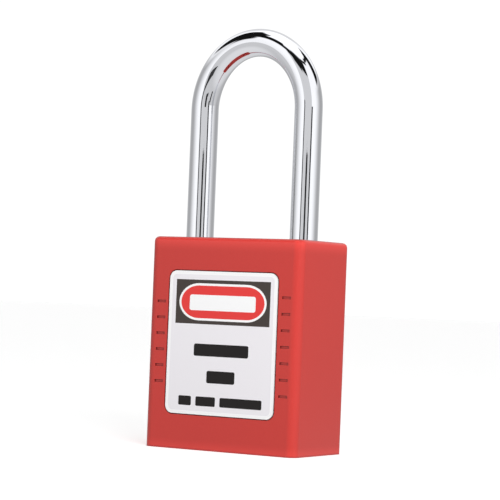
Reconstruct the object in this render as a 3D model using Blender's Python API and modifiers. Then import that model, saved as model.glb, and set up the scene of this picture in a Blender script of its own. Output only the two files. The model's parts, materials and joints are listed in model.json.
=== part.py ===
"""Safety padlock: a nylon body round a six-pin lock cylinder, with a plated steel shackle.

Run it with  blender --background --python part.py  or from Blender's text editor.
Units are metres and +Z is up. The origin is the middle of the underside. +X points to the toe leg,
the leg that comes free, and the front face looks along -Y. The padlock is closed, with its plug
turned to the open position.
"""

import math

import bmesh
import bpy

MM = 0.001

# Usual gap between two pieces, and how far a cutter reaches past the surface that it opens.
CLEARANCE = 0.3 * MM
PAST = 1.0 * MM

# Driving dimensions of the body.
BODY_WIDTH = 37.3 * MM
BODY_DEPTH = 21.0 * MM
BODY_HEIGHT = 45.0 * MM
BODY_CORNER_RADIUS = 2.0 * MM
BODY_TOP_RADIUS = 1.0 * MM

# Driving dimensions of the shackle.
LEG_RADIUS = 3.0 * MM
LEG_SPACING = 26.0 * MM
ARCH_START = 72.85 * MM
ARCH_RISE = 14.5 * MM
HEEL_END = 9.5 * MM
TOE_END = 33.0 * MM
LEG_END_CHAMFER = 0.7 * MM
SHACKLE_LIFT = 13.0 * MM
GROOVE_BOTTOM = HEEL_END + 1.5 * MM
GROOVE_TOP = HEEL_END + 2.5 * MM
GROOVE_SHARE = 0.75
RING_THICKNESS = 0.6 * MM
SHACKLE_RING_BOTTOM = GROOVE_BOTTOM + 0.2 * MM
SHACKLE_RING_INNER = 2.4 * MM
SHACKLE_RING_OUTER = 4.0 * MM
HEEL_CHAMBER_RADIUS = 4.5 * MM
LEG_BORE_RADIUS = 3.2 * MM
NOTCH_DEPTH = 1.95 * MM
NOTCH_BOTTOM = 35.8 * MM
NOTCH_TOP = 39.7 * MM

# Underside cover, and the screw that holds it, reached down the toe bore.
COVER_WIDTH = 33.8 * MM
COVER_DEPTH = 15.8 * MM
COVER_THICKNESS = 2.8 * MM
COVER_RADIUS = 1.7 * MM
SPIGOT_RADIUS = 1.6 * MM
SPIGOT_HEIGHT = 1.5 * MM
SCREW_RADIUS = 1.2 * MM
SCREW_HEAD_RADIUS = 2.2 * MM
SCREW_HEAD_BOTTOM = 29.3 * MM
SCREW_HEAD_TOP = 31.1 * MM
SCREW_END = 1.2 * MM

# Labels and their recesses.
LABEL_WIDTH = 26.9 * MM
LABEL_HEIGHT = 30.3 * MM
LABEL_THICKNESS = 0.35 * MM
LABEL_CENTRE = 22.63 * MM
LABEL_RADIUS = 1.7 * MM
RECESS_DEPTH = 0.8 * MM
RECESS_GAP = 0.2 * MM
LABEL_INSET = 0.15 * MM

# Plain dashes moulded into the front, in a column on each side of the label.
MARK_WIDTH = 2.1 * MM
MARK_HEIGHT = 0.55 * MM
MARK_DEPTH = 0.3 * MM
MARK_PITCH = 3.4 * MM
MARK_COLUMNS = ((-15.3 * MM, 6), (15.5 * MM, 7))

# Lock pocket and cylinder.
POCKET_WIDTH = 11.9 * MM
POCKET_DEPTH = 15.6 * MM
POCKET_TOP = 39.9 * MM
POCKET_RADIUS = 0.8 * MM
PLUG_Y = -2.1 * MM
PLUG_RADIUS = 4.0 * MM
PLUG_BORE_RADIUS = 4.1 * MM
PLUG_FACE_RADIUS = 4.1 * MM
PLUG_FLANGE_RADIUS = 4.9 * MM
PLUG_FLANGE_BOTTOM = 2.0 * MM
PLUG_FLANGE_TOP = 3.0 * MM
PLUG_GROOVE_RADIUS = 3.2 * MM
PLUG_RING_INNER = 3.4 * MM
PLUG_RING_OUTER = 5.1 * MM
PLUG_FACE = 0.6 * MM
PLUG_END = 28.0 * MM
PLUG_REST_TURN = math.radians(90)
BARREL_RADIUS = 5.4 * MM
HOUSING_BOTTOM = 3.3 * MM
HOUSING_TOP = 26.0 * MM
BIBLE_WIDTH = 7.2 * MM
BIBLE_BACK = 7.5 * MM

# Pin stacks, along +Y of the housing. Each key pin's length is one step of the key's cuts.
PIN_RADIUS = 1.2 * MM
CHAMBER_RADIUS = 1.35 * MM
FIRST_PIN = 6.2 * MM
PIN_PITCH = 3.3 * MM
KEY_PIN_LENGTHS = (2.6 * MM, 3.2 * MM, 2.2 * MM, 3.0 * MM, 2.4 * MM, 2.8 * MM)
KEY_PIN_TOP = 3.75 * MM
CHAMBER_FLOOR = -0.6 * MM
DRIVER_START = 4.15 * MM
DRIVER_LENGTH = 2.0 * MM
CAP_INNER = 6.75 * MM
CAP_THICKNESS = 0.65 * MM

# Tailpiece, bolt and the guide that the bolt slides in.
TAILPIECE_RADIUS = 3.5 * MM
TAILPIECE_TOP = 35.7 * MM
CRANK_RADIUS = 2.0 * MM
CRANK_PIN_RADIUS = 0.9 * MM
BOLT_TRAVEL = 2.0 * CRANK_RADIUS * math.sin(math.radians(45))
BOLT_BOTTOM = 36.1 * MM
BOLT_TOP = 39.4 * MM
BOLT_HALF_DEPTH = 4.0 * MM
BOLT_TAIL = -5.5 * MM
BOLT_SHOULDER = 2.9 * MM
NOSE_HALF_DEPTH = 2.5 * MM
NOSE_TO_NOTCH = 0.2 * MM
GUIDE_FLOOR = 35.95 * MM

# Parts of a circle: how finely round shapes are divided.
FINE = 48
MEDIUM = 32
COARSE = 16

TOE_X = LEG_SPACING / 2
HEEL_X = -LEG_SPACING / 2
FRONT_Y = -BODY_DEPTH / 2


# ---------------------------------------------------------------- scene, materials and small tools


def clear_scene():
    for obj in list(bpy.data.objects):
        bpy.data.objects.remove(obj, do_unlink=True)


def new_collection(name):
    collection = bpy.data.collections.new(name)
    bpy.context.scene.collection.children.link(collection)
    return collection


def material(name, colour, roughness, metallic=0.0):
    """A Principled material with one colour, roughness and metallic value."""
    made = bpy.data.materials.new(name)
    made.use_nodes = True
    shader = made.node_tree.nodes["Principled BSDF"]
    shader.inputs["Base Color"].default_value = (*colour, 1.0)
    shader.inputs["Roughness"].default_value = roughness
    shader.inputs["Metallic"].default_value = metallic
    made.diffuse_color = (*colour, 1.0)
    return made


def move_to(obj, collection):
    for old in list(obj.users_collection):
        old.objects.unlink(obj)
    collection.objects.link(obj)


def piece(obj, name, surface, parent=None):
    """Makes obj a named piece of the padlock, on an empty if it moves with one."""
    obj.name = name
    obj.data.name = name
    obj.data.materials.clear()
    obj.data.materials.append(surface)
    obj.data.shade_smooth()
    obj.data.set_sharp_from_angle(angle=math.radians(32))
    obj.parent = parent
    move_to(obj, PADLOCK)
    return obj


def cut(obj, *cutters):
    """Takes each cutter's shape out of obj."""
    for cutter in cutters:
        boolean(obj, cutter, "DIFFERENCE")
    return obj


def join(obj, *others):
    """Adds each other shape to obj."""
    for other in others:
        boolean(obj, other, "UNION")
    return obj


def boolean(obj, helper, operation):
    helper.hide_render = True
    helper.display_type = "WIRE"
    move_to(helper, CUTTERS)
    modifier = obj.modifiers.new(helper.name, "BOOLEAN")
    modifier.operation = operation
    modifier.object = helper
    modifier.solver = "EXACT"


def carry(parent, *helpers):
    """Puts helpers on the same empty as the piece that they shape."""
    for helper in helpers:
        helper.parent = parent


def block(low, high):
    """A box between two corners."""
    bpy.ops.mesh.primitive_cube_add(size=1)
    obj = bpy.context.object
    for vertex in obj.data.vertices:
        for axis in range(3):
            middle = (low[axis] + high[axis]) / 2
            vertex.co[axis] = middle + vertex.co[axis] * (high[axis] - low[axis])
    return obj


def centred_block(width, depth, bottom, top, x=0.0, y=0.0):
    return block((x - width / 2, y - depth / 2, bottom), (x + width / 2, y + depth / 2, top))


def edges_along(mesh, axis):
    """The edges of a bmesh that run along one axis."""
    found = []
    for edge in mesh.edges:
        span = edge.verts[0].co - edge.verts[1].co
        if all(abs(span[other]) < 1e-7 for other in range(3) if other != axis):
            found.append(edge)
    return found


def bevel_edges(mesh, edges, radius, segments):
    bmesh.ops.bevel(mesh, geom=edges, offset=radius, segments=segments, profile=0.5, affect="EDGES")


def round_block(obj, axis, radius, segments):
    """Rounds the four edges of a box that run along one axis."""
    mesh = bmesh.new()
    mesh.from_mesh(obj.data)
    bevel_edges(mesh, edges_along(mesh, axis), radius, segments)
    mesh.to_mesh(obj.data)
    mesh.free()
    return obj


def round_rim(obj, height, radius, segments):
    """Rounds the rim of the flat face at one height."""
    mesh = bmesh.new()
    mesh.from_mesh(obj.data)
    rim = [e for e in mesh.edges if all(abs(v.co.z - height) < 1e-7 for v in e.verts)]
    bevel_edges(mesh, rim, radius, segments)
    mesh.to_mesh(obj.data)
    mesh.free()
    return obj


def rod(radius, bottom, top, x=0.0, y=0.0, sides=MEDIUM):
    """An upright cylinder."""
    bpy.ops.mesh.primitive_cylinder_add(
        vertices=sides, radius=radius, depth=top - bottom, location=(x, y, (bottom + top) / 2)
    )
    obj = bpy.context.object
    obj.data.transform(obj.matrix_world)
    obj.matrix_world.identity()
    obj.location = (0, 0, 0)
    return obj


def rod_along_y(radius, start, end, height, x=0.0):
    """A cylinder that lies along Y."""
    bpy.ops.mesh.primitive_cylinder_add(vertices=COARSE, radius=radius, depth=end - start)
    obj = bpy.context.object
    obj.rotation_euler = (math.radians(90), 0, 0)
    obj.location = (x, (start + end) / 2, height)
    return obj


def turned(profile, steps):
    """A turned solid about Z. The profile runs down its outer side as (radius, height) pairs."""
    mesh = bpy.data.meshes.new("turned")
    points = [(radius, 0, height) for radius, height in profile]
    mesh.from_pydata(points, [(i, i + 1) for i in range(len(points) - 1)], [])
    obj = bpy.data.objects.new("turned", mesh)
    bpy.context.scene.collection.objects.link(obj)
    screw = obj.modifiers.new("turn", "SCREW")
    screw.steps = steps
    screw.render_steps = steps
    screw.use_merge_vertices = True
    screw.merge_threshold = 1e-6
    return obj


def wire(points, radius, sides, radii=None):
    """A round wire along a list of points, as a POLY curve with filled caps."""
    curve = bpy.data.curves.new("wire", "CURVE")
    curve.dimensions = "3D"
    curve.bevel_depth = radius
    curve.bevel_resolution = (sides - 4) // 2
    curve.use_fill_caps = True
    spline = curve.splines.new("POLY")
    spline.points.add(len(points) - 1)
    for i, point in enumerate(points):
        spline.points[i].co = (*point, 1)
        spline.points[i].radius = radii[i] if radii else 1.0
    obj = bpy.data.objects.new("wire", curve)
    bpy.context.scene.collection.objects.link(obj)
    return obj


def as_mesh(obj):
    """A curve turned into a mesh with its caps welded."""
    graph = bpy.context.evaluated_depsgraph_get()
    mesh = bpy.data.meshes.new_from_object(obj.evaluated_get(graph))
    welding = bmesh.new()
    welding.from_mesh(mesh)
    bmesh.ops.remove_doubles(welding, verts=welding.verts, dist=1e-6)
    welding.to_mesh(mesh)
    welding.free()
    made = bpy.data.objects.new("mesh", mesh)
    bpy.context.scene.collection.objects.link(made)
    made.matrix_world = obj.matrix_world
    bpy.data.objects.remove(obj)
    return made


def helix(radius, start, end, turns, points_per_turn):
    """Points of a coil about Z."""
    count = round(turns * points_per_turn)
    points = []
    for i in range(count + 1):
        angle = 2 * math.pi * turns * i / count
        height = start + (end - start) * i / count
        points.append((radius * math.cos(angle), radius * math.sin(angle), height))
    return points


# ---------------------------------------------------------------- body, cover, labels


def body_shell():
    """The nylon moulding, open underneath, with its bores, pockets, label recesses and front marks."""
    low = (-BODY_WIDTH / 2, -BODY_DEPTH / 2, 0)
    high = (BODY_WIDTH / 2, BODY_DEPTH / 2, BODY_HEIGHT)
    shell = round_block(block(low, high), 2, BODY_CORNER_RADIUS, 5)
    round_rim(shell, BODY_HEIGHT, BODY_TOP_RADIUS, 3)

    recess_top = COVER_THICKNESS + CLEARANCE
    cover_recess = centred_block(
        COVER_WIDTH + 2 * CLEARANCE, COVER_DEPTH + 2 * CLEARANCE, -PAST, recess_top
    )
    below_recess_top = recess_top - 0.05 * MM
    lock_pocket = centred_block(POCKET_WIDTH, POCKET_DEPTH, below_recess_top, POCKET_TOP)
    recess_radius = COVER_RADIUS + CLEARANCE
    cut(shell, round_block(cover_recess, 2, recess_radius, 3))
    cut(shell, round_block(lock_pocket, 2, POCKET_RADIUS, 2))

    ring_top = SHACKLE_RING_BOTTOM + RING_THICKNESS
    ledge = ring_top + 0.4 * MM + SHACKLE_LIFT
    for x, bottom in ((HEEL_X, ledge - 0.2 * MM), (TOE_X, TOE_END - 1.5 * MM)):
        cut(shell, rod(LEG_BORE_RADIUS, bottom, BODY_HEIGHT + PAST, x))
        cut(shell, bore_mouth(x))
    cut(shell, rod(HEEL_CHAMBER_RADIUS, below_recess_top, ledge, HEEL_X))

    screw_seat = SCREW_HEAD_BOTTOM - CLEARANCE
    head_bore = SCREW_HEAD_RADIUS + CLEARANCE
    shank_bore = SCREW_RADIUS + CLEARANCE
    cut(shell, rod(head_bore, screw_seat, TOE_END - PAST, TOE_X, sides=COARSE))
    cut(shell, rod(shank_bore, below_recess_top, screw_seat + PAST, TOE_X, sides=COARSE))
    cut(shell, bolt_window())
    for side in (-1, 1):
        cut(shell, core_pocket(side, below_recess_top), label_recess(side))
    for x, count in MARK_COLUMNS:
        cut(shell, *mark_column(x, count))
    return piece(shell, "body_shell", RED_NYLON)


def bore_mouth(x):
    """The lead-in chamfer where a leg enters the top."""
    width = 0.4 * MM
    above = 0.2 * MM
    bpy.ops.mesh.primitive_cone_add(
        vertices=MEDIUM,
        radius1=LEG_BORE_RADIUS,
        radius2=LEG_BORE_RADIUS + width + above,
        depth=width + above,
        location=(x, 0, BODY_HEIGHT - width / 2 + above / 2),
    )
    return bpy.context.object


def bolt_window():
    """The opening between the lock pocket and the toe bore, for the bolt's nose."""
    half = NOSE_HALF_DEPTH + CLEARANCE
    low = (POCKET_WIDTH / 2 - PAST, -half, GUIDE_FLOOR - 0.1 * MM)
    return block(low, (TOE_X - PAST, half, POCKET_TOP))


def core_pocket(side, bottom):
    """A cored-out space beside the cover screw's boss, which keeps the walls even."""
    left, right, near, far, top = 8.2 * MM, 16.6 * MM, 4.0 * MM, 7.9 * MM, 28.0 * MM
    ys = sorted((side * near, side * far))
    pocket = block((left, ys[0], bottom), (right, ys[1], top))
    return round_block(pocket, 2, POCKET_RADIUS, 2)


def label_recess(side):
    """The shallow recess for a label on the front (-1) or the back (1)."""
    half = LABEL_WIDTH / 2 + RECESS_GAP
    rise = LABEL_HEIGHT / 2 + RECESS_GAP
    ys = sorted((side * (BODY_DEPTH / 2 - RECESS_DEPTH), side * (BODY_DEPTH / 2 + PAST)))
    recess = block((-half, ys[0], LABEL_CENTRE - rise), (half, ys[1], LABEL_CENTRE + rise))
    return round_block(recess, 1, LABEL_RADIUS + RECESS_GAP, 5)


def mark_column(x, count):
    """One column of shallow dashes beside the front label."""
    marks = []
    for i in range(count):
        z = LABEL_CENTRE + (i - (count - 1) / 2) * MARK_PITCH
        low = (x - MARK_WIDTH / 2, FRONT_Y - PAST, z - MARK_HEIGHT / 2)
        high = (x + MARK_WIDTH / 2, FRONT_Y + MARK_DEPTH, z + MARK_HEIGHT / 2)
        marks.append(block(low, high))
    return marks


def bottom_cover():
    """The nylon plate that closes the underside round the plug's face.

    A spigot on its inside holds the shackle spring.
    """
    plate = centred_block(COVER_WIDTH, COVER_DEPTH, 0, COVER_THICKNESS)
    cover = round_block(plate, 2, COVER_RADIUS, 3)
    spigot_top = COVER_THICKNESS + SPIGOT_HEIGHT
    join(cover, rod(SPIGOT_RADIUS, COVER_THICKNESS - MM, spigot_top, HEEL_X, sides=COARSE))
    flange_space = PLUG_FLANGE_BOTTOM - CLEARANCE
    screw_space = SCREW_END - CLEARANCE
    above = COVER_THICKNESS + PAST
    face_hole = rod(PLUG_FACE_RADIUS + CLEARANCE, -PAST, above, 0, PLUG_Y)
    flange_seat = rod(PLUG_FLANGE_RADIUS + 0.4 * MM, flange_space, above, 0, PLUG_Y)
    screw_hole = rod(SCREW_RADIUS + CLEARANCE, screw_space, above, TOE_X, sides=COARSE)
    cut(cover, face_hole, flange_seat, screw_hole)
    return piece(cover, "bottom_cover", RED_NYLON)


def cover_screw():
    """The long screw that holds the cover, with a cross recess in its head."""
    lead = 0.5 * MM
    screw = turned(
        [
            (0, SCREW_HEAD_TOP),
            (SCREW_HEAD_RADIUS - 0.4 * MM, SCREW_HEAD_TOP),
            (SCREW_HEAD_RADIUS, SCREW_HEAD_TOP - 0.5 * MM),
            (SCREW_HEAD_RADIUS, SCREW_HEAD_BOTTOM),
            (SCREW_RADIUS, SCREW_HEAD_BOTTOM),
            (SCREW_RADIUS, SCREW_END + lead),
            (SCREW_RADIUS - lead, SCREW_END),
            (0, SCREW_END),
        ],
        COARSE,
    )
    screw.location = (TOE_X, 0, 0)
    long, short, cross_floor = 1.2 * MM, 0.25 * MM, SCREW_HEAD_TOP - 0.9 * MM
    for x, y in ((long, short), (short, long)):
        arm = block((-x, -y, cross_floor), (x, y, SCREW_HEAD_TOP + PAST))
        arm.location = screw.location
        cut(screw, arm)
    return piece(screw, "cover_screw", STEEL)


def label(name, side):
    """A label in its recess, on the front (-1) or the back (1)."""
    outer = BODY_DEPTH / 2 - LABEL_INSET
    ys = sorted((side * outer, side * (outer - LABEL_THICKNESS)))
    low = (-LABEL_WIDTH / 2, ys[0], LABEL_CENTRE - LABEL_HEIGHT / 2)
    high = (LABEL_WIDTH / 2, ys[1], LABEL_CENTRE + LABEL_HEIGHT / 2)
    return piece(round_block(block(low, high), 1, LABEL_RADIUS, 5), name, LABEL_WHITE)


# ---------------------------------------------------------------- shackle


def shackle_line():
    """Points down the middle of the shackle, heel to toe, and the share of its radius at each."""
    chamfer_share = 1 - LEG_END_CHAMFER / LEG_RADIUS
    step = 0.02 * MM
    line = [
        (HEEL_X, HEEL_END, chamfer_share),
        (HEEL_X, HEEL_END + LEG_END_CHAMFER, 1),
        (HEEL_X, GROOVE_BOTTOM, 1),
        (HEEL_X, GROOVE_BOTTOM + step, GROOVE_SHARE),
        (HEEL_X, GROOVE_TOP - step, GROOVE_SHARE),
        (HEEL_X, GROOVE_TOP, 1),
    ]
    arch_steps = 26
    for i in range(arch_steps + 1):
        angle = math.pi * (1 - i / arch_steps)
        line.append((TOE_X * math.cos(angle), ARCH_START + ARCH_RISE * math.sin(angle), 1))
    line.append((TOE_X, TOE_END + LEG_END_CHAMFER, 1))
    line.append((TOE_X, TOE_END, chamfer_share))
    return [(x, 0, z) for x, z, _ in line], [share for _, _, share in line]


def shackle(empty):
    """The plated steel bow, with a ring groove in its heel leg and a bolt notch in its toe leg."""
    points, shares = shackle_line()
    bow = as_mesh(wire(points, LEG_RADIUS, 20, shares))
    inner_side = TOE_X - LEG_RADIUS
    beyond = LEG_RADIUS + PAST
    notch = block(
        (inner_side - PAST, -beyond, NOTCH_BOTTOM), (inner_side + NOTCH_DEPTH, beyond, NOTCH_TOP)
    )
    carry(empty, notch)
    return piece(cut(bow, notch), "shackle", CHROME, empty)


def snap_ring(name, empty, inner, outer, bottom, x, opening):
    """A flat ring on the empty, open towards -Y, that sits in a groove."""
    top = bottom + RING_THICKNESS
    ring = rod(outer, bottom, top, x)
    hole = rod(inner, bottom - PAST, top + PAST, x)
    gap = block((x - opening / 2, -2 * outer, bottom - PAST), (x + opening / 2, 0, top + PAST))
    carry(empty, hole, gap)
    return piece(cut(ring, hole, gap), name, STEEL, empty)


def shackle_ring(empty):
    """The ring in the heel leg's groove, which stops the shackle at the top of its travel."""
    return snap_ring(
        "shackle_ring",
        empty,
        SHACKLE_RING_INNER,
        SHACKLE_RING_OUTER,
        SHACKLE_RING_BOTTOM,
        HEEL_X,
        opening=3.2 * MM,
    )


def shackle_spring():
    """The coil under the heel leg that lifts the shackle, between the cover and the leg."""
    wire_radius = 0.35 * MM
    coil_radius = 2.3 * MM
    clearance = CLEARANCE + wire_radius
    points = helix(coil_radius, COVER_THICKNESS + clearance, HEEL_END - clearance, 5.5, 14)
    spring = wire(points, wire_radius, 8)
    spring.location = (HEEL_X, 0, 0)
    return piece_curve(spring, "shackle_spring", STEEL)


def piece_curve(obj, name, surface):
    obj.name = name
    obj.data.name = name
    obj.data.materials.append(surface)
    move_to(obj, PADLOCK)
    return obj


# ---------------------------------------------------------------- cylinder


def pin_heights():
    return [FIRST_PIN + i * PIN_PITCH for i in range(len(KEY_PIN_LENGTHS))]


def cylinder_housing():
    """The cast housing: a barrel round the plug, and a block behind it with the six driver chambers."""
    housing = rod(BARREL_RADIUS, HOUSING_BOTTOM, HOUSING_TOP, 0, PLUG_Y, FINE)
    join(
        housing,
        block(
            (-BIBLE_WIDTH / 2, PLUG_Y, HOUSING_BOTTOM), (BIBLE_WIDTH / 2, BIBLE_BACK, HOUSING_TOP)
        ),
    )
    cut(housing, rod(PLUG_BORE_RADIUS, HOUSING_BOTTOM - PAST, HOUSING_TOP + PAST, 0, PLUG_Y, FINE))
    gap = 0.2 * MM
    low, high = cap_corners()
    seat = block(
        (low[0] - gap, CAP_INNER - 0.15 * MM, low[2] - gap),
        (high[0] + gap, BIBLE_BACK + PAST, high[2] + gap),
    )
    cut(housing, seat)
    for z in pin_heights():
        cut(housing, rod_along_y(CHAMBER_RADIUS, PLUG_Y + 3.5 * MM, CAP_INNER + 0.1 * MM, z))
    return piece(housing, "cylinder_housing", ZINC)


def cap_corners():
    """The lowest and highest corners of the strip over the driver chambers."""
    half_width, below, above = 1.75 * MM, 1.8 * MM, 2.3 * MM
    low = (-half_width, CAP_INNER, FIRST_PIN - below)
    return low, (half_width, CAP_INNER + CAP_THICKNESS, pin_heights()[-1] + above)


def chamber_cap():
    """The strip over the chambers that the pin springs push against."""
    return piece(block(*cap_corners()), "chamber_cap", BRASS)


def plug(empty):
    """The turning core, about the empty.

    Its keyway opens in its face, its key pin chambers point to +Y, and a tang ends it.
    """
    groove_bottom, groove_top = HOUSING_TOP + 0.2 * MM, HOUSING_TOP + 1.1 * MM
    edge = 0.3 * MM
    core = turned(
        [
            (0, PLUG_END),
            (PLUG_RADIUS - edge, PLUG_END),
            (PLUG_RADIUS, PLUG_END - edge),
            (PLUG_RADIUS, groove_top),
            (PLUG_GROOVE_RADIUS, groove_top),
            (PLUG_GROOVE_RADIUS, groove_bottom),
            (PLUG_RADIUS, groove_bottom),
            (PLUG_RADIUS, PLUG_FLANGE_TOP),
            (PLUG_FLANGE_RADIUS, PLUG_FLANGE_TOP),
            (PLUG_FLANGE_RADIUS, PLUG_FLANGE_BOTTOM),
            (PLUG_FACE_RADIUS, PLUG_FLANGE_BOTTOM),
            (PLUG_FACE_RADIUS, PLUG_FACE + edge),
            (PLUG_FACE_RADIUS - edge, PLUG_FACE),
            (0, PLUG_FACE),
        ],
        FINE,
    )
    tang = block((-1.0 * MM, -2.5 * MM, PLUG_END - MM), (1.0 * MM, 2.5 * MM, PLUG_END + 2.0 * MM))
    keyway_end = pin_heights()[-1] + 2.0 * MM
    ward_end = keyway_end - 0.3 * MM
    keyway = block((-0.75 * MM, -3.4 * MM, 0), (0.75 * MM, 2.2 * MM, keyway_end))
    upper_ward = block((0.2 * MM, 0.2 * MM, 0), (1.3 * MM, 1.0 * MM, ward_end))
    lower_ward = block((-1.3 * MM, -2.2 * MM, 0), (-0.2 * MM, -1.2 * MM, ward_end))
    beyond = PLUG_RADIUS + 2 * PAST
    chambers = [rod_along_y(CHAMBER_RADIUS, CHAMBER_FLOOR, beyond, z) for z in pin_heights()]
    carry(empty, tang, keyway, upper_ward, lower_ward, *chambers)
    join(core, tang)
    cut(core, keyway, upper_ward, lower_ward, *chambers)
    return piece(core, "plug", BRASS, empty)


def plug_ring(empty):
    """The ring that holds the plug in its housing."""
    bottom = HOUSING_TOP + 0.35 * MM
    opening = 4.4 * MM
    return snap_ring("plug_ring", empty, PLUG_RING_INNER, PLUG_RING_OUTER, bottom, 0, opening)


def tailpiece(empty):
    """The spindle on the plug's tang, with the crank pin that drives the bolt."""
    bottom = PLUG_END + 0.3 * MM
    spindle = rod(TAILPIECE_RADIUS, bottom, TAILPIECE_TOP)
    offset = CRANK_RADIUS * math.cos(math.radians(45))
    pin_top = BOLT_TOP - 0.2 * MM
    crank_pin = rod(CRANK_PIN_RADIUS, TAILPIECE_TOP - MM, pin_top, offset, offset, COARSE)
    tang_slot = block((-1.3 * MM, -5 * MM, 0), (1.3 * MM, 5 * MM, PLUG_END + 2.3 * MM))
    carry(empty, crank_pin, tang_slot)
    return piece(cut(join(spindle, crank_pin), tang_slot), "tailpiece", STEEL, empty)


def key_pin(number, height, length, empty):
    """A pin with a pointed end that the key would lift, in the plug's chamber."""
    tip, tip_radius = 0.7 * MM, 0.4 * MM
    bevel = 0.2 * MM
    pin = turned(
        [
            (0, KEY_PIN_TOP),
            (PIN_RADIUS - bevel, KEY_PIN_TOP),
            (PIN_RADIUS, KEY_PIN_TOP - bevel),
            (PIN_RADIUS, KEY_PIN_TOP - length + tip),
            (tip_radius, KEY_PIN_TOP - length),
            (0, KEY_PIN_TOP - length),
        ],
        COARSE,
    )
    pin.rotation_euler = (math.radians(-90), 0, 0)
    pin.location = (0, 0, height)
    return piece(pin, f"key_pin_{number}", BRASS, empty)


def driver_pin(number, height):
    """A plain pin between a key pin and its spring, in the housing."""
    bevel = 0.2 * MM
    pin = turned(
        [
            (0, DRIVER_LENGTH),
            (PIN_RADIUS - bevel, DRIVER_LENGTH),
            (PIN_RADIUS, DRIVER_LENGTH - bevel),
            (PIN_RADIUS, bevel),
            (PIN_RADIUS - bevel, 0),
            (0, 0),
        ],
        COARSE,
    )
    pin.rotation_euler = (math.radians(-90), 0, 0)
    pin.location = (0, PLUG_Y + DRIVER_START, height)
    return piece(pin, f"driver_pin_{number}", STEEL)


def pin_spring(number, height):
    """The small coil behind a driver pin."""
    wire_radius = 0.14 * MM
    coil_radius = 0.85 * MM
    clearance = 0.16 * MM + wire_radius
    start = PLUG_Y + DRIVER_START + DRIVER_LENGTH + clearance
    points = helix(coil_radius, 0, CAP_INNER - clearance - start, 4, 10)
    spring = wire(points, wire_radius, 6)
    spring.rotation_euler = (math.radians(-90), 0, 0)
    spring.location = (0, start, height)
    return piece_curve(spring, f"pin_spring_{number}", STEEL)


# ---------------------------------------------------------------- bolt and its guide


def bolt_guide():
    """The block over the cylinder, with a hole for the tailpiece and a channel for the bolt."""
    half_width, half_depth = POCKET_WIDTH / 2 - CLEARANCE, POCKET_DEPTH / 2 - CLEARANCE
    bottom, top = HOUSING_TOP + CLEARANCE, POCKET_TOP - CLEARANCE
    guide = block((-half_width, -half_depth, bottom), (half_width, half_depth, top))
    ring_back, ring_top = 3.6 * MM, HOUSING_TOP + 1.3 * MM
    ring_space = block((-POCKET_WIDTH, -POCKET_DEPTH, 0), (POCKET_WIDTH, ring_back, ring_top))
    channel_half = BOLT_HALF_DEPTH + 0.2 * MM
    channel = block(
        (-POCKET_WIDTH, -channel_half, GUIDE_FLOOR), (POCKET_WIDTH, channel_half, BODY_HEIGHT)
    )
    plug_space = rod(PLUG_RADIUS + 0.4 * MM, HOUSING_TOP, PLUG_END + 0.6 * MM, 0, PLUG_Y)
    spindle_hole = rod(TAILPIECE_RADIUS + 0.25 * MM, HOUSING_TOP, GUIDE_FLOOR + PAST, 0, PLUG_Y)
    cut(guide, ring_space, channel, plug_space, spindle_hole)
    return piece(guide, "bolt_guide", ZINC)


def locking_bolt():
    """The sliding bolt, drawn back.

    Its slot takes the crank pin, and its nose goes into the toe leg's notch.
    """
    middle = (BOLT_BOTTOM + BOLT_TOP) / 2
    nose_half = (BOLT_TOP - BOLT_BOTTOM) / 2 - 0.1 * MM
    nose_tip = TOE_X - LEG_RADIUS + NOTCH_DEPTH - NOSE_TO_NOTCH - BOLT_TRAVEL
    bolt = block(
        (BOLT_TAIL, -BOLT_HALF_DEPTH, BOLT_BOTTOM), (BOLT_SHOULDER, BOLT_HALF_DEPTH, BOLT_TOP)
    )
    nose = block(
        (BOLT_SHOULDER - MM, -NOSE_HALF_DEPTH, middle - nose_half),
        (nose_tip, NOSE_HALF_DEPTH, middle + nose_half),
    )
    round_block(nose, 2, 0.4 * MM, 2)
    crank_x = -BOLT_TRAVEL / 2
    slack = 0.16 * MM
    low_y = PLUG_Y + CRANK_RADIUS * math.cos(math.radians(45)) - CRANK_PIN_RADIUS - slack
    high_y = PLUG_Y + CRANK_RADIUS + CRANK_PIN_RADIUS + slack
    slot = block(
        (crank_x - CRANK_PIN_RADIUS - slack, low_y, BOLT_BOTTOM - PAST),
        (crank_x + CRANK_PIN_RADIUS + slack, high_y, BOLT_TOP + PAST),
    )
    return piece(cut(join(bolt, nose), slot), "locking_bolt", STEEL)


# ---------------------------------------------------------------- assembly


def empty_at(name, location, turn=0.0):
    empty = bpy.data.objects.new(name, None)
    empty.location = location
    empty.rotation_euler = (0, 0, turn)
    PADLOCK.objects.link(empty)
    return empty


clear_scene()
PADLOCK = new_collection("safety_padlock")
CUTTERS = new_collection("cutters")

RED_NYLON = material("red_nylon", (0.62, 0.035, 0.03), 0.38)
LABEL_WHITE = material("label_white", (0.86, 0.86, 0.88), 0.35)
CHROME = material("chrome_plate", (0.86, 0.87, 0.89), 0.06, 1.0)
STEEL = material("bright_steel", (0.55, 0.56, 0.58), 0.3, 1.0)
ZINC = material("zinc_alloy", (0.42, 0.43, 0.44), 0.45, 1.0)
BRASS = material("brass", (0.72, 0.53, 0.26), 0.32, 1.0)

shackle_empty = empty_at("shackle_travel", (0, 0, 0))
plug_empty = empty_at("plug_axis", (0, PLUG_Y, 0), PLUG_REST_TURN)

body_shell()
bottom_cover()
cover_screw()
label("label_front", -1)
label("label_back", 1)
shackle(shackle_empty)
shackle_ring(shackle_empty)
shackle_spring()
cylinder_housing()
chamber_cap()
plug(plug_empty)
plug_ring(plug_empty)
tailpiece(plug_empty)
for index, pin_height in enumerate(pin_heights()):
    key_pin(index + 1, pin_height, KEY_PIN_LENGTHS[index], plug_empty)
    driver_pin(index + 1, pin_height)
    pin_spring(index + 1, pin_height)
bolt_guide()
locking_bolt()
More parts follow.
